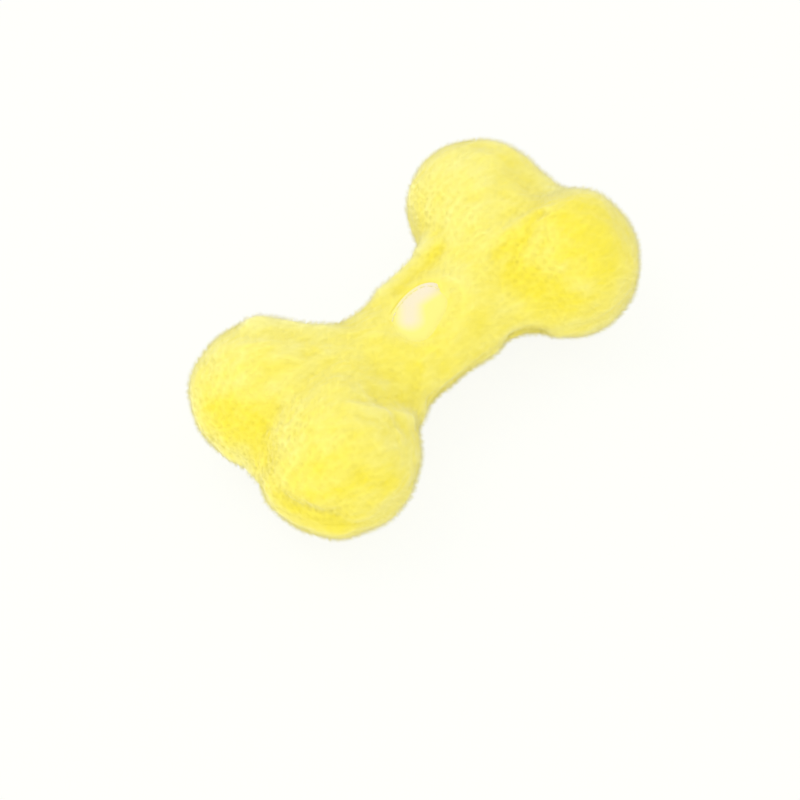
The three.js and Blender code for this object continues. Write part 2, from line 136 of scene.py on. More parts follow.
# Each fold's line, its half width, and how deep it is, in millimetres. A depth below zero is a ridge.
FOLDS = [
    # Beside the patch, and where the far lobes begin
    ([(25.2, 11.1, 40), (13.4, 12.6, 38), (1.9, 10.1, 38)], 3, 0.8),
    ([(34.6, -16.5, 41), (37, -24.4, 40), (39.5, -33.7, 37)], 5.5, 1.2),
    ([(35.6, -7.5, 45), (43, -10.2, 47), (48, -11.2, 49)], 3, 1.4),
    # On the far lobes
    ([(55.2, -10.9, 53), (47.4, -12.4, 49), (38.5, -14.3, 44)], 2.2, 1.2),
    ([(65.9, -23.3, 56), (61.6, -28.6, 55), (60.9, -35.3, 52)], 6.5, 1.0),
    ([(45.4, 15, 49), (54.9, 8.5, 48), (57.6, 0.8, 47)], 1.8, 0.7),
    # At the root of the near right lobe: a ridge, and the crease below it
    ([(-54.1, -23.3, 54), (-46.8, -28.9, 49), (-36.5, -33.3, 38)], 2.3, -1.1),
    ([(-42.1, -21.7, 46), (-31.1, -27.2, 38), (-20.1, -28.2, 29)], 3.4, 1.1),
    # On the near lobes, and between them
    ([(-80.2, 16, 38), (-79.2, 8, 38), (-76.3, -0.2, 38), (-82.8, -8.9, 36)], 6.5, 1.4),
    ([(-61.7, 10.3, 49), (-52.5, 7.3, 49), (-43.8, 6.4, 48)], 1.8, 0.7),
    ([(-86.5, -24, 33), (-85, -32, 32), (-80, -39, 31)], 4.5, 2.4),
    ([(-68.2, -39.1, 45), (-62.2, -45.5, 39)], 2.8, 0.9),
    ([(-42.4, -29.4, 46), (-44, -38.2, 40)], 2, 0.6),
    # Where the filling makes the sides fuller or slacker
    ([(0, 15.5, 36), (6, 16.5, 34), (13, 17.5, 33), (22, 20, 33)], 6, -2.6),
    ([(-50, 31, 46), (-43, 27, 45), (-37, 20, 45), (-31, 15, 42)], 5, -2.2),
    ([(-51, 31, 45), (-48, 30, 47)], 3.5, -0.9),
    ([(79, 5, 37), (78, -3, 42), (76, -11, 47)], 9, -2.2),
    ([(74, 29, 45), (77.5, 24, 45), (80.5, 20, 42)], 5, -1.0),
    ([(39.5, 40, 25), (40, 40.5, 32), (43, 42.5, 35)], 5, -0.8),
    ([(-77, 37, 31), (-81, 31, 33), (-85, 23, 32)], 6, -0.8),
    ([(-84, 9, 22), (-82.5, 4, 21), (-82.5, 0, 22)], 5, -1.8),
    ([(-31, -32, 30), (-31.5, -33, 24)], 4, 0.8),
    ([(41, -39, 22), (52, -43, 16), (64, -45, 14), (76, -42, 14)], 6, -1.0),
    ([(-14, -26, 22), (-5, -26, 22), (2, -26, 22)], 5.5, 1.6),
    ([(25, -27.5, 21), (29, -28.5, 21), (34, -30, 20)], 4.5, 2.4),
]

# The cloth is pushed up a little beside each fold: by a share of its depth, how many half widths away,
# and how sharply
FOLD_LIP_SHARE = 0.2
FOLD_LIP_AWAY = 2
FOLD_LIP_SHARPNESS = 2


def distance_to(points, line):
    """How far points are from a line through a few places."""
    nearest = np.full(len(points), np.inf)
    for start, end in zip(line[:-1], line[1:]):
        along = end - start
        share = np.clip((points - start) @ along / (along @ along), 0, 1)
        nearest = np.minimum(nearest, np.linalg.norm(points - start - share[:, None] * along, axis=1))
    return nearest


def fold_depth(points):
    """How far the folds and dents draw the cloth in at each point."""
    total = np.zeros(len(points))
    for line, width, depth in FOLDS:
        away = distance_to(points, np.array(line, float) * MM) / (width * MM)
        lip = FOLD_LIP_SHARE * np.exp(-(away - FOLD_LIP_AWAY)**2 * FOLD_LIP_SHARPNESS)
        total += depth * MM * (np.exp(-away**2) - lip)
    return total


# The covers: two panels of knitted cloth with a pile, cut to the bone's outline and sewn together round
# it. Here is the knitted back, about a millimetre thick. It is remeshed from the CAD's solids, blown up
# as cloth by the filling while it lies on its four flats, and then parted at the seam.
BODY = "root"
WADS = ["shaft_top", "shaft_bottom", "far_left", "far_right", "near_left", "near_right"]
TINY = 0.001 * MM

# The skin under the pile, and how the filling swells it
PILE_DEPTH = 0.65 * MM
BACK_THICKNESS = 0.9 * MM
CLOTH_VOXEL = 4 * MM
FILLING_FRAMES = 20
FILLING_CAP = 1.5 * MM
FLAT_REACH = 3 * MM
FLOOR_CLEARANCE = 1.0 * MM

# The pile's mass: tufts in streaks along the nap, over soft lumps
NAP = np.array((0.93, -0.37, 0))
NAP_STRETCH_SHARE = 2.4
NAP_LEAN = 0.6
TUFT_SIZE = 3.3 * MM
TUFT_HEIGHT = 0.58 * MM
TUFT_SEED = 4
TUFT_WANDER = 0.8
TUFT_CROWN_SHARE = 0.55
STREAK_SIZE = 5 * MM
LUMP_SIZE = 17 * MM
LUMP_HEIGHT = 1.0 * MM

# The seam, its fold, how it combs the pile, and the allowance behind it
seam_low, seam_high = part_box("seam_thread")
SEAM_HEIGHT = (seam_low.z + seam_high.z) / 2
SEAM_GAP = 0.04 * MM
SEAM_FOLD_DEPTH = 0.3 * MM
SEAM_FOLD_WIDTH = 2.6 * MM
SEAM_COMB = 0.4
ALLOWANCE = 4.5 * MM
ALLOWANCE_STEPS = 3
ALLOWANCE_LEVEL = 0.3
RIM_SMOOTHING = 6
RIM_STRIDE = 3

# The patch's bare bed, and the pile that lies over its edge or leans away from it
PATCH_SEAT = 0.9 * MM
PATCH_OVERLAP = 2.2 * MM
BARE_EDGE = 0.8 * MM
BARE_EDGE_SPREAD = 2.5
LIP_HEIGHT = 0.2 * MM
LIP_WIDTH = 2.5 * MM
COMB_REACH = 5 * MM
AWAY_LEAN = 0.7
OVER_LEAN = -2.4

# The colours: shade 0 is the deep yellow and 1 the pale one
DEEP_YELLOW = (0.975, 0.85, 0.045)
PALE_YELLOW = (0.985, 0.925, 0.295)
USUAL_SHADE = 0.35
STREAK_SHADE = 0.2
# How deep a fold must be to be painted fully deep yellow: painted shade in the creases
FOLD_PAINTED_SHADE_DEPTH = 5 * MM
# How much paler the tops of the tufts are painted than the hollows between them: painted shade
TUFT_PAINTED_SHADE = 0.25
FUZZ_RELIEF = 0.15 * MM
PLUSH_GLOW = {"Specular_IOR_Level": 0.2, "Sheen_Weight": 0.65, "Sheen_Roughness": 0.5}

# Painted light and shade: where the pile is painted paler as if lit, or deeper in colour below zero as if
# in shade: a line, how far its effect reaches, in millimetres, and its share
PAINTED_LIGHT_AND_SHADE = [
    ([(46, 31, 46), (57, 26, 51), (50, 12, 48), (36, 14, 45)], 13, 0.25),
    ([(-64, 32, 47), (-52, 24, 49), (-42, 10, 47)], 14, 0.15),
    ([(-76, -14, 47), (-61, -27, 54), (-52, -34, 50), (-50, -42, 42)], 9, 0.06),
    ([(21, 2, 41), (18, -11, 42)], 6, 0.15),
    ([(72, -7, 45), (84, -22, 40), (80, -40, 32)], 8, 0.1),
    ([(-43, -10, 48), (-32, -17, 41), (-16, -21, 38), (8, -22, 34)], 11, -0.15),
    ([(25, 11, 40), (13, 12.6, 38), (2, 10, 38)], 6, -0.25),
    ([(66, -23, 56), (61, -35, 52)], 11, -0.25),
    ([(35, -16, 41), (40, -34, 37)], 9, -0.2),
    ([(60, -20, 54), (62, -38, 49)], 22, -0.2),
    ([(-80, 16, 38), (-76, 0, 38), (-83, -9, 36)], 9, -0.2),
    ([(-87, -22, 36), (-83, -34, 34), (-76, -43, 30)], 9, -0.25),
    ([(-76, -34, 44), (-68, -39, 45), (-62, -45, 39)], 11, -0.2),
    ([(-84, -30, 18), (-78, -38, 18)], 10, -0.12),
]


def object_of(name, data):
    made = bpy.data.objects.new(name, data)
    bpy.context.scene.collection.objects.link(made)
    return made


def made_of(bm, name):
    """An object of the mesh that was built, which is then freed."""
    mesh = bpy.data.meshes.new(name)
    bm.to_mesh(mesh)
    bm.free()
    return object_of(name, mesh)


def plain_copy(made):
    """The evaluated mesh of an object, which is then removed with its modifiers."""
    name = made.name
    mesh = bpy.data.meshes.new_from_object(made.evaluated_get(bpy.context.evaluated_depsgraph_get()))
    bpy.data.objects.remove(made)
    return object_of(name, mesh)


def corners_of(made):
    """The places of a mesh's corners, as rows."""
    places = np.empty(len(made.data.vertices) * 3)
    made.data.vertices.foreach_get("co", places)
    return places.reshape(-1, 3)


def place_corners(made, places):
    made.data.vertices.foreach_set("co", places.ravel())
    made.data.update()


def outermost(bm):
    """Removes every closed shell but the largest."""
    left = set(bm.verts)
    shells = []
    while left:
        start = left.pop()
        shell = [start]
        waiting = [start]
        while waiting:
            for edge in waiting.pop().link_edges:
                for corner in edge.verts:
                    if corner in left:
                        left.remove(corner)
                        shell.append(corner)
                        waiting.append(corner)
        shells.append(shell)
    shells.sort(key=len)
    for shell in shells[:-1]:
        bmesh.ops.delete(bm, geom=shell, context="VERTS")


def remeshed(name, nodes, voxel):
    """One closed skin of even squares round several CAD nodes."""
    bm = bmesh.new()
    for node in nodes:
        bm.from_mesh(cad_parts[node].data)
    bmesh.ops.remove_doubles(bm, verts=bm.verts, dist=TINY)
    made = made_of(bm, name)
    voxels = made.modifiers.new("voxels", "REMESH")
    voxels.mode = "VOXEL"
    voxels.voxel_size = voxel
    made = plain_copy(made)
    bm = bmesh.new()
    bm.from_mesh(made.data)
    outermost(bm)
    bmesh.ops.recalc_face_normals(bm, faces=bm.faces)
    bm.to_mesh(made.data)
    bm.free()
    return made


def outward(made):
    """The outward direction at each corner."""
    directions = np.empty(len(made.data.vertices) * 3)
    made.data.vertex_normals.foreach_get("vector", directions)
    return directions.reshape(-1, 3)


def filled(made, held):
    """Blows a skin up as cloth, with some of its corners held, and caps how far it moves."""
    before = corners_of(made)
    group = made.vertex_groups.new(name="held")
    group.add([int(i) for i in np.flatnonzero(held)], 1.0, "REPLACE")
    filling = made.modifiers.new("filling", "CLOTH")
    filling.settings.quality = 6
    filling.settings.mass = 0.2
    filling.settings.use_pressure = True
    filling.settings.uniform_pressure_force = 4
    filling.settings.tension_stiffness = 12
    filling.settings.compression_stiffness = 12
    filling.settings.bending_stiffness = 0.4
    filling.settings.effector_weights.gravity = 0
    filling.settings.vertex_group_mass = "held"
    for step in range(1, FILLING_FRAMES + 1):
        bpy.context.scene.frame_set(step)
    made = plain_copy(made)
    bpy.context.scene.frame_set(1)
    made.vertex_groups.clear()
    change = corners_of(made) - before
    length = np.linalg.norm(change, axis=1, keepdims=True)
    share = np.minimum(1, FILLING_CAP / np.maximum(length, TINY))
    place_corners(made, before + change * share)
    return made


def finer(made, levels):
    """Rounds a mesh off by subdividing it, after any other modifier that it has."""
    smooth = made.modifiers.new("smooth", "SUBSURF")
    smooth.levels = levels
    smooth.render_levels = levels
    return plain_copy(made)


def thickened(made, thickness):
    """Gives a cloth its thickness, inwards from its face."""
    wall = made.modifiers.new("wall", "SOLIDIFY")
    wall.thickness = thickness
    wall.offset = -1


whole_bone = ["cover_top", "cover_bottom", "patch", *(f"stuffing_{wad}" for wad in WADS)]
skin = remeshed("skin", whole_bone, CLOTH_VOXEL)
place_corners(skin, corners_of(skin) - outward(skin) * PILE_DEPTH)
skin = filled(skin, corners_of(skin)[:, 2] < FLAT_REACH)
skin = finer(skin, 2)
even_skin = BVHTree.FromObject(skin, bpy.context.evaluated_depsgraph_get())

# The patch's place, its turn on the shaft, its rounded outline, and which of its edges is free of pile:
# the direction of the free edge from its centre, and how far round it the pile begins and is full
patch_low, patch_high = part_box("patch")
PATCH_CENTRE = (patch_low + patch_high) / 2
PATCH_HALF = (patch_high - patch_low) / 2
PATCH_ROUNDNESS = 2.5
PATCH_TURN = math.radians(17)
PATCH_AXES = np.array((
    (math.cos(PATCH_TURN), math.sin(PATCH_TURN)),
    (-math.sin(PATCH_TURN), math.cos(PATCH_TURN)),
))
FREE_EDGE = np.array((0.5, 0.87))
FREE_EDGE_ENDS = (-0.75, -0.2)


def eased(values, low, high):
    """A smooth rise from 0 at low to 1 at high."""
    share = np.clip((values - low) / (high - low), 0, 1)
    return share * share * (3 - 2 * share)


def patch_side(places):
    """Level places, as seen along the patch's own length and width from its centre."""
    return (places[:, :2] - np.array(PATCH_CENTRE.xy)) @ PATCH_AXES.T


def beyond_patch(places):
    """How far places lie outside the patch, seen from above. It is below zero under the patch."""
    side = patch_side(places)
    share = np.sum(np.abs(side / np.array(PATCH_HALF.xy)) ** PATCH_ROUNDNESS, axis=1)
    share = share ** (1 / PATCH_ROUNDNESS)
    outside = np.linalg.norm(side, axis=1) * (1 - 1 / np.maximum(share, 0.1))
    return np.where(places[:, 2] > SEAM_HEIGHT, outside, np.inf)


def patch_lip(places):
    """From 0 along the patch's free edge to 1 along the edges that the pile lies over."""
    return eased(-(patch_side(places) / np.array(PATCH_HALF.xy)) @ FREE_EDGE, *FREE_EDGE_ENDS)


def marked(made, name, kind, values):
    """Keeps a value at each corner of a mesh."""
    mark = made.data.attributes.new(name, kind, "POINT")
    mark.data.foreach_set("value" if kind == "FLOAT" else "vector", values.astype(np.float32).ravel())


def drawn_in(made):
    """Presses the folds and dents into a skin, and draws it in along the seam."""
    places = corners_of(made)
    seam = SEAM_FOLD_DEPTH * np.exp(-((places[:, 2] - SEAM_HEIGHT) / SEAM_FOLD_WIDTH) ** 2)
    place_corners(made, places - outward(made) * (fold_depth(places) + seam)[:, None])


def along_nap(place, size):
    """A place in units of a size, squeezed along the nap, so that what is drawn from it lies in streaks."""
    return Vector((place - NAP * (place @ NAP) * (1 - 1 / NAP_STRETCH_SHARE)) / size)


def tufted(made):
    """Raises the pile's mass in small streaks over soft lumps, and keeps its height and its shade, painted
    light and shade included.
    """
    noise.seed_set(TUFT_SEED)
    places = corners_of(made)
    height = np.empty(len(places))
    lumps = np.empty(len(places))
    streaks = np.empty(len(places))
    for i, place in enumerate(places):
        spot = along_nap(place, TUFT_SIZE)
        crown = 1 - noise.voronoi(spot + noise.noise_vector(spot / 2) * TUFT_WANDER)[0][0]
        fringe = 0.5 + noise.noise(spot * 2)
        height[i] = TUFT_CROWN_SHARE * crown + (1 - TUFT_CROWN_SHARE) * fringe
        lumps[i] = noise.fractal(Vector(place) / LUMP_SIZE, 1.0, 2.0, 2)
        streaks[i] = noise.fractal(along_nap(place, STREAK_SIZE), 0.8, 2.0, 3)
    height = np.clip((height - height.min()) / (height.max() - height.min()), 0, 1)
    lip = patch_lip(places)
    beyond = beyond_patch(places) + lip * PATCH_OVERLAP
    bare = 1 - eased(beyond / (BARE_EDGE * (1 + BARE_EDGE_SPREAD * lip)), -1, 1)
    rise = ((height - height.mean()) * TUFT_HEIGHT + lumps * LUMP_HEIGHT) * (1 - bare) - PATCH_SEAT * bare
    rise += LIP_HEIGHT * lip * np.exp(-((beyond - BARE_EDGE) / LIP_WIDTH) ** 2)
    # Folds and dents are painted deeper in colour: painted shade in the creases
    shade = USUAL_SHADE + STREAK_SHADE * streaks - fold_depth(places) / FOLD_PAINTED_SHADE_DEPTH
    # The pile is painted paler where light falls and deeper in colour where shade falls
    for line, reach, share in PAINTED_LIGHT_AND_SHADE:
        away = distance_to(places, np.array(line, float) * MM) / (reach * MM)
        shade += share * np.exp(-away**2)
    places += outward(made) * rise[:, None]
    places[:, 2] = np.maximum(places[:, 2], FLOOR_CLEARANCE)
    place_corners(made, places)
    marked(made, "level", "FLOAT", height)
    marked(made, "shade", "FLOAT", np.clip(shade, 0, 1))
    marked(made, "growth", "FLOAT", 1 - bare)


def combed(made):
    """Lays the pile along the bone, over the seam, and over or away from the patch's edges."""
    places = corners_of(made)
    side = patch_side(places)
    outwards = side / np.maximum(np.linalg.norm(side, axis=1, keepdims=True), MM)
    level = np.column_stack((outwards @ PATCH_AXES, np.zeros(len(places))))
    near = 1 - eased(beyond_patch(places), COMB_REACH / 2, COMB_REACH)
    lean = AWAY_LEAN + (OVER_LEAN - AWAY_LEAN) * patch_lip(places)
    above = (places[:, 2] - SEAM_HEIGHT) / SEAM_FOLD_WIDTH
    comb = level * (near * lean)[:, None] + (1 - near)[:, None] * NAP * NAP_LEAN
    comb[:, 2] -= np.sign(above) * SEAM_COMB * np.exp(-above**2)
    marked(made, "comb", "FLOAT_VECTOR", comb)


# The shade, with its painted shade in the folds, is taken from where the folds lie, so it is read before
# they are pressed in.
tufted(skin)
drawn_in(skin)
combed(skin)


def coloured(shader, shade, low, high):
    """Colours a shader between two shades, by a number."""
    tree = shader.id_data
    mix = add_node(tree, "ShaderNodeMix", {0: shade, 6: (*low, 1), 7: (*high, 1)}, data_type="RGBA")
    tree.links.new(mix.outputs[2], shader.inputs["Base Color"])


def attribute(tree, name, output="Fac"):
    return add_node(tree, "ShaderNodeAttribute", attribute_name=name).outputs[output]


def summed(tree, first, share, second):
    """A number plus a share of another."""
    feeds = {0: second, 1: share, 2: first}
    return add_node(tree, "ShaderNodeMath", feeds, operation="MULTIPLY_ADD").outputs[0]


plush_back, shader = new_finish("plush_back", PALE_YELLOW, 1.0, **PLUSH_GLOW)
nodes = shader.id_data
# The hollows between the tufts are painted deeper in colour: painted shade
shade = summed(nodes, attribute(nodes, "shade"), TUFT_PAINTED_SHADE, attribute(nodes, "level"))
coloured(shader, shade, DEEP_YELLOW, PALE_YELLOW)
raised(shader, soft_noise(nodes, Scale=900.0, Detail=4.0, Roughness=0.7), FUZZ_RELIEF)


def half_skin(name, side):
    """The part of the skin above or below the seam, cut straight along it."""
    bm = bmesh.new()
    bm.from_mesh(skin.data)
    bmesh.ops.bisect_plane(bm, geom=[*bm.verts, *bm.edges, *bm.faces], dist=TINY, clear_inner=True,
                           plane_co=(0, 0, SEAM_HEIGHT + side * SEAM_GAP), plane_no=(0, 0, side))
    return made_of(bm, name)


def rim_of(bm):
    """The corners along a mesh's open edge, in order, in the way that its faces turn."""
    edge = next(edge for edge in bm.edges if edge.is_boundary)
    rim = [edge.link_loops[0].vert]
    while True:
        corner = edge.other_vert(rim[-1])
        if corner is rim[0]:
            return rim
        rim.append(corner)
        edge = next(other for other in corner.link_edges if other.is_boundary and other is not edge)


def smoothed_round(places, reach):
    """A closed line of places, each replaced by the mean of those within its reach."""
    return sum(np.roll(places, shift, axis=0) for shift in range(-reach, reach + 1)) / (2 * reach + 1)


def into_bone(line):
    """The level direction into the bone at each place of a closed line round it."""
    ahead = np.roll(line, -RIM_STRIDE, axis=0) - np.roll(line, RIM_STRIDE, axis=0)
    turn = np.sign(np.sum(line[:, 0] * np.roll(line[:, 1], -1) - line[:, 1] * np.roll(line[:, 0], -1)))
    level = np.column_stack((-ahead[:, 1], ahead[:, 0], np.zeros(len(line)))) * turn
    return level / np.linalg.norm(level, axis=1, keepdims=True)


def turned_in(cover):
    """Folds a cover's edge inwards along the seam."""
    bm = bmesh.new()
    bm.from_mesh(cover.data)
    level = bm.verts.layers.float["level"]
    rim = rim_of(bm)
    line = np.array([corner.co for corner in rim])
    even_line = smoothed_round(line, RIM_SMOOTHING)
    inwards = into_bone(even_line)
    ring = rim
    for step in range(1, ALLOWANCE_STEPS + 1):
        share = step / ALLOWANCE_STEPS
        target = line * (1 - share) + even_line * share + inwards * ALLOWANCE * share
        inner = [bm.verts.new(place) for place in target]
        for i in range(len(ring)):
            j = (i + 1) % len(ring)
            bm.faces.new((ring[j], ring[i], inner[i], inner[j]))
            inner[i][level] = ALLOWANCE_LEVEL
        ring = inner
    for corner, after in zip(rim, rim[1:] + rim[:1]):
        bm.edges.get((corner, after)).smooth = False
    bm.to_mesh(cover.data)
    bm.free()


covers = {"top": half_skin("cover_top_back", 1), "bottom": half_skin("cover_bottom_back", -1)}
pile_beds = {}
for side, cover in covers.items():
    pile_beds[side] = cover.data.copy()
    turned_in(cover)
    thickened(cover, BACK_THICKNESS)
    cover = plain_copy(cover)
    cover.data.materials.append(plush_back)
    cover.data.shade_smooth()
    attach(cover, BODY)
    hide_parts(f"cover_{side}")
bpy.data.objects.remove(skin)


# The stuffing: six wads of loose, white polyester fibre, pushed in by hand through the gap in the seam.
# Two of them close round the squeaker. Each is a soft, lumpy mass, a little smaller than its hollow.
WAD_VOXEL = 2.4 * MM
WAD_SLACK = 0.35 * MM
WAD_RELIEF = 0.9 * MM
WAD_TUFT_SIZE = 5 * MM
WALL = 4.3 * MM
FIBRE_WHITE = (0.93, 0.92, 0.89)
FIBRE_SHADE = (0.82, 0.81, 0.77)
STRAND_RELIEF = 0.6 * MM

fibrefill, shader = new_finish("fibrefill", FIBRE_WHITE, 1.0, Sheen_Weight=0.3)
strands = mottled(shader, (FIBRE_WHITE, FIBRE_SHADE), (0.3, 0.7), Scale=420, Distortion=3.0)
raised(shader, strands, STRAND_RELIEF)

for name in WADS:
    wad = finer(remeshed(f"wad_{name}", [f"stuffing_{name}"], WAD_VOXEL), 1)
    places = corners_of(wad)
    out = outward(wad)
    lumps = np.array([noise.fractal(Vector(place) / WAD_TUFT_SIZE, 0.8, 2.2, 3) for place in places])
    depth = WAD_SLACK + WAD_RELIEF * np.clip(0.5 + 0.5 * lumps, 0, 1)
    depth += np.maximum(fold_depth(places + out * WALL), 0)
    place_corners(wad, places - out * depth[:, None])
    wad.data.materials.clear()
    wad.data.materials.append(fibrefill)
    wad.data.shade_smooth()
    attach(wad, BODY)
    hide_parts(f"stuffing_{name}")


# The seam: lockstitches of yellow polyester thread through both turned-in edges, all round the bone but
# for the gap on one side of the shaft. Each stitch is one small loop round the two edges.
THREAD_RADIUS = 0.24 * MM
THREAD_SIDES = 6
THREAD_RELIEF = 0.12 * MM
TWIST_LENGTH = 1.1 * MM
STITCH_LENGTH = 2.6 * MM
STITCH_SPACING = 2.8 * MM
STITCH_INSET = 1.4 * MM
STITCH_BEND = 0.35 * MM
STITCH_CROWN = 0.05 * MM
STITCH_SWAY = (1, 1, 0.3)
THREAD_YELLOW = (0.93, 0.80, 0.12)
THREAD_YELLOW_PALE = (0.96, 0.87, 0.30)


def thread_of(name, places, closed):
    """A thread through places. Its length so far and the way its surface faces are kept for its twist."""
    bm = bmesh.new()
    along = bm.verts.layers.float.new("along")
    facing = bm.verts.layers.float_vector.new("facing")
    places = [Vector(place) for place in places]
    count = len(places)
    rings = []
    length = 0
    for i, place in enumerate(places):
        after = places[(i + 1) % count] if closed or i + 1 < count else place
        before = places[i - 1] if closed or i > 0 else place
        ahead = (after - before).normalized()
        out = Vector((0, 1, 0))
        up = ahead.cross(out).normalized()
        length += (place - places[i - 1]).length if i else 0
        ring = []
        for k in range(THREAD_SIDES):
            turn = 2 * math.pi * k / THREAD_SIDES
            corner = bm.verts.new(place + (out * math.cos(turn) + up * math.sin(turn)) * THREAD_RADIUS)
            corner[along] = length / TWIST_LENGTH
            corner[facing] = (math.cos(turn), math.sin(turn), 0)
            ring.append(corner)
        rings.append(ring)
    for i in range(count if closed else count - 1):
        low, high = rings[i], rings[(i + 1) % count]
        for k in range(THREAD_SIDES):
            bm.faces.new((low[k], low[(k + 1) % THREAD_SIDES], high[(k + 1) % THREAD_SIDES], high[k]))
    if not closed:
        bm.faces.new(rings[0][::-1])
        bm.faces.new(rings[-1])
    bmesh.ops.recalc_face_normals(bm, faces=bm.faces)
    return made_of(bm, name)


def line_of(name, places, closed):
    """A line of edges through places, for stitches to follow."""
    mesh = bpy.data.meshes.new(name)
    edges = [(i, i + 1) for i in range(len(places) - 1)]
    if closed:
        edges.append((len(places) - 1, 0))
    mesh.from_pydata([tuple(place) for place in places], edges, [])
    return object_of(name, mesh)


def new_tree(name, inputs, output):
    """A Geometry Nodes tree with named inputs and one output, and what its inputs give."""
    tree = bpy.data.node_groups.new(name, "GeometryNodeTree")
    for title, kind in inputs.items():
        tree.interface.new_socket(title, in_out="INPUT", socket_type=f"NodeSocket{kind}")
    tree.interface.new_socket(output, in_out="OUTPUT", socket_type="NodeSocketGeometry")
    return tree, tree.nodes.new("NodeGroupInput").outputs


def end_tree(tree, copies, finish):
    """Makes a tree's copies real, gives them their material and hands them out."""
    real = add_node(tree, "GeometryNodeRealizeInstances", {0: copies})
    painted = add_node(tree, "GeometryNodeSetMaterial", {"Geometry": real.outputs[0], "Material": finish})
    add_node(tree, "NodeGroupOutput", {0: painted.outputs[0]})


def stitch_tree():
    """Sets a stitch at every spacing along a line, each a little out of place as sewing leaves it."""
    tree, given = new_tree("stitches", {
        "Line": "Geometry", "Stitch": "Object", "Finish": "Material", "Spacing": "Float", "Sway": "Float",
        "Rock": "Float", "Seed": "Int",
    }, "Stitches")
    curve = add_node(tree, "GeometryNodeMeshToCurve", {"Mesh": given["Line"]})
    spots = add_node(tree, "GeometryNodeCurveToPoints",
                     {"Curve": curve.outputs[0], "Length": given["Spacing"]}, mode="LENGTH")
    aim = add_node(tree, "FunctionNodeAlignRotationToVector", {"Vector": spots.outputs["Tangent"]},
                   axis="X", pivot_axis="Z")
    rock_back = add_node(tree, "ShaderNodeMath", {0: given["Rock"], 1: -1.0}, operation="MULTIPLY")
    rock = add_node(tree, "FunctionNodeRandomValue", {
        2: rock_back.outputs[0], 3: given["Rock"], "Seed": given["Seed"],
    }, data_type="FLOAT")
    rocking = add_node(tree, "FunctionNodeAxisAngleToRotation", {"Angle": rock.outputs[1]})
    turned = add_node(tree, "FunctionNodeRotateRotation", {0: aim.outputs[0], 1: rocking.outputs[0]},
                      rotation_space="LOCAL")
    sway = add_node(tree, "FunctionNodeRandomValue", {
        0: -Vector(STITCH_SWAY), 1: STITCH_SWAY, "Seed": given["Seed"],
    }, data_type="FLOAT_VECTOR")
    swayed = add_node(tree, "ShaderNodeVectorMath", {0: sway.outputs[0], 3: given["Sway"]},
                      operation="SCALE")
    moved = add_node(tree, "GeometryNodeSetPosition",
                     {"Geometry": spots.outputs["Points"], "Offset": swayed.outputs[0]})
    stitch = add_node(tree, "GeometryNodeObjectInfo", {"Object": given["Stitch"]})
    copies = add_node(tree, "GeometryNodeInstanceOnPoints", {
        "Points": moved.outputs[0], "Instance": stitch.outputs["Geometry"], "Rotation": turned.outputs[0],
    })
    end_tree(tree, copies.outputs[0], given["Finish"])
    return tree


def set_inputs(modifier, values):
    """Sets a Geometry Nodes modifier's inputs by their names in its tree."""
    for item in modifier.node_group.interface.items_tree:
        if item.in_out == "INPUT" and item.name in values:
            modifier[item.identifier] = values[item.name]


def twisted(name, colours, depth):
    """The finish of a thread of two strands, which are twisted round each other."""
    finish, shader = new_finish(name, colours[0], 0.55, Sheen_Weight=0.2)
    mottled(shader, colours, (0.35, 0.7), Scale=260)
    tree = shader.id_data
    turns = add_node(tree, "ShaderNodeMath", {0: attribute(tree, "along"), 1: 2 * math.pi},
                     operation="MULTIPLY").outputs[0]
    sine = add_node(tree, "ShaderNodeMath", {0: turns}, operation="SINE")
    cosine = add_node(tree, "ShaderNodeMath", {0: turns}, operation="COSINE")
    spiral = add_node(tree, "ShaderNodeCombineXYZ", {0: sine.outputs[0], 1: cosine.outputs[0]})
    strand = add_node(tree, "ShaderNodeVectorMath", {
        0: spiral.outputs[0], 1: attribute(tree, "facing", "Vector"),
    }, operation="DOT_PRODUCT")
    raised(shader, strand.outputs["Value"], depth)
    return finish


stitches = stitch_tree()


def sewn(name, line, closed, stitch, node, values):
    """Stitches along a line, which stand for one thread of the CAD."""
    piece = line_of(name, line, closed)
    sewing = piece.modifiers.new("stitches", "NODES")
    sewing.node_group = stitches
    set_inputs(sewing, {"Stitch": stitch, **values})
    piece = plain_copy(piece)
    bpy.data.objects.remove(stitch)
    piece.data.shade_smooth()
    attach(piece, BODY)
    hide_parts(node)


bm = bmesh.new()
bm.from_mesh(pile_beds["top"])
rim = np.array([corner.co for corner in rim_of(bm)])
bm.free()
rim = smoothed_round(rim, RIM_SMOOTHING)
rim[:, 2] = SEAM_HEIGHT
rim_inwards = into_bone(rim)
gap_low, gap_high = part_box("closing_thread")
in_gap = (rim[:, 0] > gap_low.x) & (rim[:, 0] < gap_high.x) & (rim[:, 1] * gap_low.y > 0)
first = int(np.flatnonzero(in_gap & ~np.roll(in_gap, 1))[0])
order = np.roll(np.arange(len(rim)), -first)
in_gap = in_gap[order]
rim = rim[order]
rim_inwards = rim_inwards[order]

thread = twisted("sewing_thread", (THREAD_YELLOW, THREAD_YELLOW_PALE), THREAD_RELIEF)
half, bend = STITCH_LENGTH / 2, STITCH_BEND
top = SEAM_GAP + BACK_THICKNESS + THREAD_RADIUS
upper = [
    (-half, 0, top - bend), (bend - half, 0, top), (0, 0, top + STITCH_CROWN), (half - bend, 0, top),
    (half, 0, top - bend),
]
lockstitch = [(-half, 0, 0), *upper, (half, 0, 0), *((x, y, -z) for x, y, z in reversed(upper))]
seam_line = (rim + rim_inwards * STITCH_INSET)[~in_gap]
sewn("seam_stitches", seam_line, False, thread_of("lockstitch", lockstitch, True), "seam_thread", {
    "Finish": thread, "Spacing": STITCH_SPACING, "Sway": 0.12 * MM, "Rock": 0.06, "Seed": 3,
})


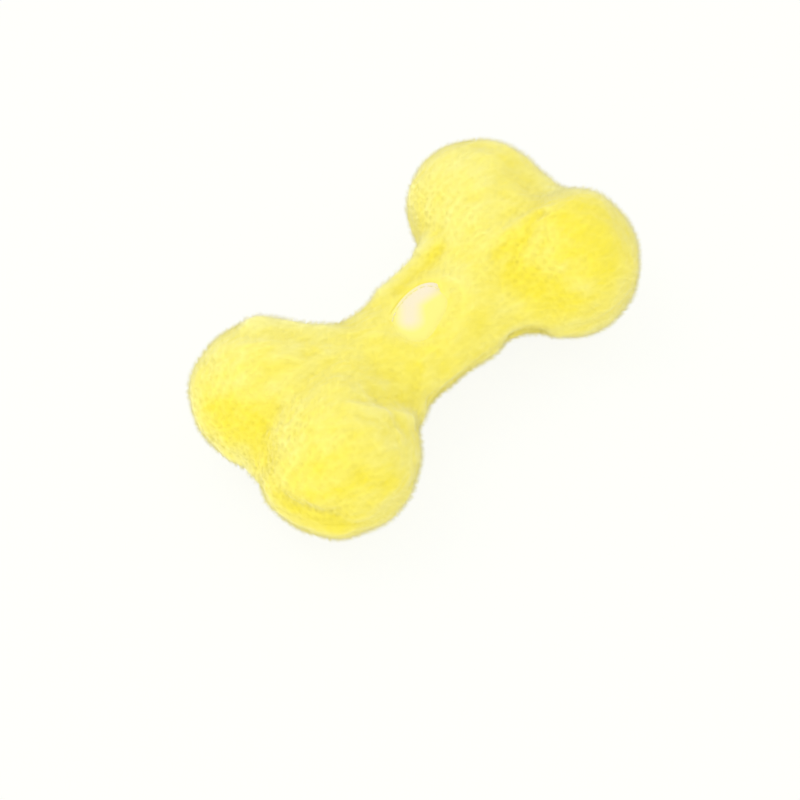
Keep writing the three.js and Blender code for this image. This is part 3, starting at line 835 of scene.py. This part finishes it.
# The closing seam: a ladder stitch, sewn by hand after stuffing. The thread runs inside one folded edge,
# crosses straight to the other and runs on in that, so that only short rungs show between the edges.
LADDER_STEP = 3.6 * MM
LADDER_HALF_HEIGHT = 0.8 * MM
LADDER_INSET = 0.25 * MM
LADDER_BEND = 0.35 * MM

step, high, bend = LADDER_STEP, LADDER_HALF_HEIGHT, LADDER_BEND
ladder = [
    (-step, 0, high - bend), (bend - step, 0, high), (-step / 2, 0, high), (-bend, 0, high),
    (0, 0, high - bend), (0, 0, bend - high),
    (bend, 0, -high), (step / 2, 0, -high), (step - bend, 0, -high), (step, 0, bend - high),
]
closing_line = (rim + rim_inwards * LADDER_INSET)[in_gap]
sewn("closing_stitches", closing_line, False, thread_of("ladder_stitch", ladder, False), "closing_thread", {
    "Finish": thread, "Spacing": 2 * LADDER_STEP, "Sway": 0.1 * MM, "Rock": 0.04, "Seed": 5,
})


# The patch: a bare, pale piece of smooth woven cloth, rounded at its corners and sewn flat on the shaft's
# top. It stands clear of the pile along its upper edge, and the pile lies over its lower edge.
PATCH_THICKNESS = 0.7 * MM
PATCH_LIFT = 0.3 * MM
PATCH_DIP = 1.6 * MM
PATCH_CROWN = 0.45 * MM
PATCH_WRINKLE = 0.35 * MM
WRINKLE_LENGTH = 9 * MM
WRINKLE_WIDTH = 5 * MM
WRINKLE_SEED = 2
PATCH_RINGS = 12
PATCH_POINTS = 80
YARN_SPACING = 0.42 * MM
YARN_RELIEF = 0.06 * MM
YARN_SCALE = 0.05 * 2 * math.pi  # at which one band of the wave pattern is one unit wide
PATCH_CREAM = (0.89, 0.79, 0.63)
PATCH_YELLOW_TONE_AND_BOUNCE = (0.95, 0.875, 0.22)
PALE_REACH = 5.8 * MM
PALE_ENDS = (0.2, 1.3)
STAIN_SHARE = 0.3

# Where the patch is painted palest, in millimetres from its centre; away from it the patch is painted
# yellower, as painted yellow bounce light and shade from the pile
PALEST_LINE = [(13, 6.5), (1, 6.3), (-4.5, 0.8)]

# The running stitch that holds it, which rises over the cloth and sinks into it at its ends
PATCH_STITCH_INSET = 1.4 * MM
PATCH_STITCH_SPACING = 2.9 * MM
PATCH_THREAD_RELIEF = 0.04 * MM
DASH_HALF = 1.0 * MM
DASH_BEND = 0.15 * MM
DASH_RISE = 0.12 * MM
DASH_SINK = 0.5 * MM


def patch_outline():
    """The patch's rounded outline, seen from above."""
    places = []
    for step in range(PATCH_POINTS):
        turn = 2 * math.pi * step / PATCH_POINTS
        cosine, sine = math.cos(turn), math.sin(turn)
        along = PATCH_HALF.x * math.copysign(abs(cosine) ** (2 / PATCH_ROUNDNESS), cosine)
        across = PATCH_HALF.y * math.copysign(abs(sine) ** (2 / PATCH_ROUNDNESS), sine)
        places.append((along, across))
    return np.array(places)


def on_shaft(along, across, share):
    """A place of the patch over the even skin: its own length and width, and its share of the way out."""
    x, y = np.array(PATCH_CENTRE.xy) + np.array((along, across)) @ PATCH_AXES
    ground = even_skin.ray_cast(Vector((x, y, 1)), Vector((0, 0, -1)))[0].z
    wrinkle = noise.noise(Vector((along / WRINKLE_LENGTH, across / WRINKLE_WIDTH, WRINKLE_SEED)))
    dip = PATCH_DIP * patch_lip(np.array([(x, y, ground)]))[0] * share**3
    crown = PATCH_CROWN * (1 - share**2) + PATCH_WRINKLE * wrinkle * (1 - share**4)
    return x, y, ground + PATCH_LIFT - dip + crown


outline = patch_outline()
bm = bmesh.new()
cloth_map = bm.loops.layers.uv.new("cloth")
rings = []
flat_places = {}
for number in range(1, PATCH_RINGS + 1):
    share = number / PATCH_RINGS
    ring = []
    for along, across in outline * share:
        corner = bm.verts.new(on_shaft(along, across, share))
        flat_places[corner] = (along / YARN_SPACING, across / YARN_SPACING)
        ring.append(corner)
    rings.append(ring)
middle = bm.verts.new(on_shaft(0, 0, 0))
flat_places[middle] = (0, 0)
count = len(outline)
for i in range(count):
    bm.faces.new((middle, rings[0][i], rings[0][(i + 1) % count]))
    for low, high in zip(rings[:-1], rings[1:]):
        bm.faces.new((low[i], high[i], high[(i + 1) % count], low[(i + 1) % count]))
for face in bm.faces:
    for use in face.loops:
        use[cloth_map].uv = flat_places[use.vert]
patch = made_of(bm, "patch_cloth")
thickened(patch, PATCH_THICKNESS)
patch = finer(patch, 1)

patch_weave, shader = new_finish("patch_weave", PATCH_CREAM, 0.85, Sheen_Weight=0.15)
nodes = shader.id_data
flat = add_node(nodes, "ShaderNodeUVMap", uv_map="cloth").outputs[0]
yarns = [
    add_node(nodes, "ShaderNodeTexWave", {
        "Vector": flat, "Scale": YARN_SCALE, "Distortion": 0.4, "Detail": 1.0,
    }, bands_direction=direction).outputs["Fac"]
    for direction in ("X", "Y")
]
weave = add_node(nodes, "ShaderNodeMath", {0: yarns[0], 1: yarns[1]}, operation="MULTIPLY")
raised(shader, weave.outputs[0], YARN_RELIEF)
stain = soft_noise(nodes, Scale=110.0, Detail=3.0)
# Painted bounce light and shade: yellower away from the palest line, with real stains from the noise
coloured(shader, summed(nodes, attribute(nodes, "fade"), STAIN_SHARE, stain), PATCH_CREAM, PATCH_YELLOW_TONE_AND_BOUNCE)
palest = [(PATCH_CENTRE.x + x * MM, PATCH_CENTRE.y + y * MM, PATCH_CENTRE.z) for x, y in PALEST_LINE]
from_palest = distance_to(corners_of(patch), np.array(palest)) / PALE_REACH
marked(patch, "fade", "FLOAT", eased(from_palest, *PALE_ENDS))
patch.data.materials.append(patch_weave)
patch.data.shade_smooth()
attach(patch, BODY)
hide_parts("patch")

inner = 1 - PATCH_STITCH_INSET / PATCH_HALF.y
stitch_line = [on_shaft(*place, inner) for place in outline * inner]
thread = twisted("patch_thread_cream", (PATCH_YELLOW_TONE_AND_BOUNCE, PATCH_CREAM), PATCH_THREAD_RELIEF)
dash = [
    (-DASH_HALF, 0, -DASH_SINK), (DASH_BEND - DASH_HALF, 0, 0), (0, 0, DASH_RISE),
    (DASH_HALF - DASH_BEND, 0, 0), (DASH_HALF, 0, -DASH_SINK),
]
sewn("patch_stitches", stitch_line, True, thread_of("running_stitch", dash, False), "patch_thread", {
    "Finish": thread, "Spacing": PATCH_STITCH_SPACING, "Sway": 0.08 * MM, "Rock": 0.05, "Seed": 9,
})


# The pile: soft fibres about two millimetres long that stand on the cloth's face. They lean in
# swirls, gather in small tufts at their tips, and are pressed flat under the bone. Each fibre is one
# slender point of three faces, set on the cloth by Geometry Nodes.
PILE_LENGTH = 2.2 * MM
LENGTH_SHARES = (0.72, 1.12)
FIBRES_PER_AREA = 4.2 / MM**2
FIBRE_THICKNESS = 0.023 * MM
FIBRE_SIDES = 3
FIBRE_JITTER = (0.3, 0.3, 0.3)
TUFT_SPACING = 2.4 * MM
TUFT_PULL = 0.75
SWIRL_SIZE = 9 * MM
SWIRL_LEAN = 2.0
CLOTH_SHARE = 0.4
TONE_SHADE = 0.3
# How much deeper in colour each fibre is painted towards its root: painted shade within the pile
ROOT_PAINTED_SHADE = 0.2
TABLE_CLEARANCE = 0.05 * MM
CELL_MARGIN = 0.15
PILE_SEEDS = {"top": 10, "bottom": 20}

# The pile is one piece for the shaft and one for each lobe
SHAFT_END = 30 * MM
PILE_REGIONS = {
    "shaft": lambda x, y: abs(x) < SHAFT_END,
    "far_left": lambda x, y: x >= SHAFT_END and y >= 0,
    "far_right": lambda x, y: x >= SHAFT_END and y < 0,
    "near_left": lambda x, y: x <= -SHAFT_END and y >= 0,
    "near_right": lambda x, y: x <= -SHAFT_END and y < 0,
}


def tapered_fibre():
    """One fibre, a unit tall and a unit in radius at its root."""
    bm = bmesh.new()
    level = bm.verts.layers.float.new("level")
    ring = []
    for k in range(FIBRE_SIDES):
        turn = 2 * math.pi * k / FIBRE_SIDES
        ring.append(bm.verts.new((math.cos(turn), math.sin(turn), 0)))
    tip = bm.verts.new((0, 0, 1))
    tip[level] = 1
    for k in range(FIBRE_SIDES):
        bm.faces.new((ring[k], ring[(k + 1) % FIBRE_SIDES], tip))
    return made_of(bm, "fibre")


def pile_tree():
    """Stands fibres on a cloth: combed, swept in swirls, and drawn together in tufts at their tips."""
    tree, given = new_tree("pile", {
        "Cloth": "Geometry", "Fibre": "Object", "Finish": "Material", "Fibres per area": "Float",
        "Length": "Float", "Thickness": "Float", "Tuft spacing": "Float", "Tuft pull": "Float",
        "Swirl size": "Float", "Swirl lean": "Float", "Seed": "Int",
    }, "Pile")

    def vector(operation, first, second):
        feeds = {0: first, 3 if operation == "SCALE" else 1: second}
        return add_node(tree, "ShaderNodeVectorMath", feeds, operation=operation).outputs[0]

    def number(operation, first, second):
        return add_node(tree, "ShaderNodeMath", {0: first, 1: second}, operation=operation).outputs[0]

    def read(name, kind):
        return add_node(tree, "GeometryNodeInputNamedAttribute", {"Name": name}, data_type=kind).outputs[0]

    def stored(points, name, kind, value):
        return add_node(tree, "GeometryNodeStoreNamedAttribute", {
            "Geometry": points, "Name": name, "Value": value,
        }, data_type=kind, domain="POINT").outputs[0]

    density = number("MULTIPLY", given["Fibres per area"], read("growth", "FLOAT"))
    roots = add_node(tree, "GeometryNodeDistributePointsOnFaces", {
        "Mesh": given["Cloth"], "Density": density, "Seed": given["Seed"],
    }, distribute_method="RANDOM")
    tufts = add_node(tree, "GeometryNodeDistributePointsOnFaces", {
        "Mesh": given["Cloth"], "Distance Min": given["Tuft spacing"],
        "Density Max": given["Fibres per area"], "Seed": given["Seed"],
    }, distribute_method="POISSON")

    place = add_node(tree, "GeometryNodeInputPosition").outputs[0]
    nearest = add_node(tree, "GeometryNodeProximity", {0: tufts.outputs["Points"]}, target_element="POINTS")
    to_tuft = vector("SUBTRACT", nearest.outputs["Position"], place)
    pull = number("DIVIDE", given["Tuft pull"], given["Length"])
    swirl = add_node(tree, "ShaderNodeTexNoise", {
        "Vector": place, "Scale": number("DIVIDE", 1.0, given["Swirl size"]), "Detail": 2,
    }, noise_dimensions="3D")
    swept = vector("SUBTRACT", swirl.outputs["Color"], (0.5, 0.5, 0.5))
    jitter = add_node(tree, "FunctionNodeRandomValue", {0: -Vector(FIBRE_JITTER), 1: FIBRE_JITTER},
                      data_type="FLOAT_VECTOR")
    lean = vector("SCALE", swept, given["Swirl lean"])
    gather = vector("SCALE", to_tuft, pull)
    ahead = roots.outputs["Normal"]
    for change in (lean, gather, jitter.outputs[0], read("comb", "FLOAT_VECTOR")):
        ahead = vector("ADD", ahead, change)
    aim = add_node(tree, "FunctionNodeAlignRotationToVector", {"Vector": ahead}, axis="Z")
    turn = add_node(tree, "FunctionNodeRandomValue", {3: 2 * math.pi}, data_type="FLOAT")
    spin = add_node(tree, "FunctionNodeAxisAngleToRotation", {"Angle": turn.outputs[1]})
    spun = add_node(tree, "FunctionNodeRotateRotation", {0: aim.outputs[0], 1: spin.outputs[0]},
                    rotation_space="LOCAL")

    tallness = add_node(tree, "FunctionNodeRandomValue", {2: LENGTH_SHARES[0], 3: LENGTH_SHARES[1]},
                        data_type="FLOAT")
    height = number("MULTIPLY", tallness.outputs[1], given["Length"])
    size = add_node(tree, "ShaderNodeCombineXYZ", {0: given["Thickness"], 1: given["Thickness"], 2: height})
    tone = add_node(tree, "FunctionNodeRandomValue", data_type="FLOAT")
    points = stored(roots.outputs["Points"], "tone", "FLOAT", tone.outputs[1])
    points = stored(points, "cloth_normal", "FLOAT_VECTOR", roots.outputs["Normal"])
    fibre = add_node(tree, "GeometryNodeObjectInfo", {"Object": given["Fibre"]})
    copies = add_node(tree, "GeometryNodeInstanceOnPoints", {
        "Points": points, "Instance": fibre.outputs["Geometry"], "Rotation": spun.outputs[0],
        "Scale": size.outputs[0],
    })
    end_tree(tree, copies.outputs[0], given["Finish"])
    return tree


plush_pile, shader = new_finish("plush_pile", PALE_YELLOW, 1.0, **PLUSH_GLOW)
nodes = shader.id_data
shade = summed(nodes, attribute(nodes, "shade"), TONE_SHADE, attribute(nodes, "tone"))
# Painted shade: each fibre deeper in colour towards its root
shade = summed(nodes, shade, ROOT_PAINTED_SHADE, attribute(nodes, "level"))
coloured(shader, shade, DEEP_YELLOW, PALE_YELLOW)
fibre = tapered_fibre()
growing = pile_tree()


def part_of(mesh, name, inside):
    """The faces of a mesh whose centres pass a test of their place."""
    bm = bmesh.new()
    bm.from_mesh(mesh)
    away = [face for face in bm.faces if not inside(*face.calc_center_median().xy)]
    bmesh.ops.delete(bm, geom=away, context="FACES")
    return made_of(bm, name)


def cells_for(mesh):
    """A small cell of the bake map for each fibre, with its height along the cell."""
    fibre_corners = FIBRE_SIDES + 1
    columns = math.ceil(math.sqrt(len(mesh.vertices) / fibre_corners))
    corner = np.empty(len(mesh.loops), dtype=np.int32)
    mesh.loops.foreach_get("vertex_index", corner)
    level = np.empty(len(mesh.vertices), dtype=np.float32)
    mesh.attributes["level"].data.foreach_get("value", level)
    owner = corner // fibre_corners
    side = corner % fibre_corners % FIBRE_SIDES / (FIBRE_SIDES - 1)
    u = (owner % columns + CELL_MARGIN + (1 - 2 * CELL_MARGIN) * side) / columns
    v = (owner // columns + CELL_MARGIN + (1 - 2 * CELL_MARGIN) * level[corner]) / columns
    cells = mesh.uv_layers.new(name="OFBake")
    cells.data.foreach_set("uv", np.column_stack((u, v)).astype(np.float32).ravel())


def shade_as_cloth(made, share):
    """Turns the shading normals of fibres towards those of the cloth that they stand on."""
    cloth = np.empty(len(made.data.vertices) * 3)
    made.data.attributes["cloth_normal"].data.foreach_get("vector", cloth)
    made.data.shade_smooth()
    turned = outward(made) * (1 - share) + cloth.reshape(-1, 3) * share
    turned /= np.linalg.norm(turned, axis=1, keepdims=True)
    made.data.normals_split_custom_set_from_vertices(turned.astype(np.float32))
    made.data.attributes.remove(made.data.attributes["cloth_normal"])


for side, bed in pile_beds.items():
    for number, (region, inside) in enumerate(PILE_REGIONS.items()):
        pile = part_of(bed, f"pile_{side}_{region}", inside)
        growth = pile.modifiers.new("pile", "NODES")
        growth.node_group = growing
        set_inputs(growth, {
            "Fibre": fibre, "Finish": plush_pile, "Fibres per area": FIBRES_PER_AREA, "Length": PILE_LENGTH,
            "Thickness": FIBRE_THICKNESS, "Tuft spacing": TUFT_SPACING, "Tuft pull": TUFT_PULL,
            "Swirl size": SWIRL_SIZE, "Swirl lean": SWIRL_LEAN, "Seed": number + PILE_SEEDS[side],
        })
        pile = plain_copy(pile)
        places = corners_of(pile)
        places[:, 2] = np.maximum(places[:, 2], TABLE_CLEARANCE)
        place_corners(pile, places)
        shade_as_cloth(pile, CLOTH_SHARE)
        cells_for(pile.data)
        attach(pile, BODY)
bpy.data.objects.remove(fibre)


# The studio of the photograph: a white table and a bright white room, with soft light from above and
# behind, and the camera above one corner of the bone.
VIEW_AZIMUTH = math.radians(-45.65)
VIEW_ELEVATION = math.radians(55)
VIEW_DISTANCE = 650 * MM
VIEW_TARGET = Vector((-27.26, -19.39, 26.88)) * MM
VIEW_LENS = 81.3
FLOOR_WIDTH = 6
FLOOR_WHITE = (0.97, 0.97, 0.955)
FLOOR_WHITE_SHARE = 0.91
BACKGROUND_WHITE = (0.995, 1.0, 0.96)
SOFTBOX_WIDTH = 0.7
SOFTBOXES = {
    "key": {"place": (-0.3, 0.55, 1.1), "power": 2.3},
    "fill": {"place": (-0.7, -0.75, 0.35), "power": 0.85},
}

bpy.ops.mesh.primitive_plane_add(size=FLOOR_WIDTH)
floor = bpy.context.object
floor.name = "floor"
white_table, shader = new_finish("white_table", FLOOR_WHITE, 0.8)
nodes = shader.id_data
light_path = add_node(nodes, "ShaderNodeLightPath")
seen = 0.0
for ray in ("Is Camera Ray", "Is Glossy Ray", "Is Transmission Ray"):
    seen = summed(nodes, seen, FLOOR_WHITE_SHARE, light_path.outputs[ray])
lit = add_node(nodes, "ShaderNodeEmission", {"Color": (*BACKGROUND_WHITE, 1), "Strength": 1.0})
mixed = add_node(nodes, "ShaderNodeMixShader", {0: seen, 1: shader.outputs[0], 2: lit.outputs[0]})
nodes.links.new(mixed.outputs[0], nodes.nodes["Material Output"].inputs["Surface"])
floor.data.materials.append(white_table)

world = bpy.data.worlds.new("white_room")
world.use_nodes = True
bpy.context.scene.world = world
room = world.node_tree.nodes["Background"]
room.inputs["Color"].default_value = (1, 1, 1, 1)
room.inputs["Strength"].default_value = 1.0

for name, softbox in SOFTBOXES.items():
    light = bpy.data.lights.new(name, "AREA")
    light.shape = "DISK"
    light.size = SOFTBOX_WIDTH
    light.energy = softbox["power"]
    lamp = object_of(name, light)
    lamp.location = softbox["place"]
    lamp.rotation_euler = (-lamp.location).to_track_quat("-Z", "Y").to_euler()

camera = object_of("camera", bpy.data.cameras.new("camera"))
back = Vector((
    math.sin(VIEW_AZIMUTH) * math.cos(VIEW_ELEVATION),
    -math.cos(VIEW_AZIMUTH) * math.cos(VIEW_ELEVATION),
    math.sin(VIEW_ELEVATION),
))
camera.location = VIEW_TARGET + back * VIEW_DISTANCE
camera.rotation_euler = back.to_track_quat("Z", "Y").to_euler()
camera.data.lens = VIEW_LENS
camera.data.sensor_width = 36
camera.data.clip_start = 0.01
bpy.context.scene.camera = camera
bpy.context.scene.view_settings.view_transform = "Standard"
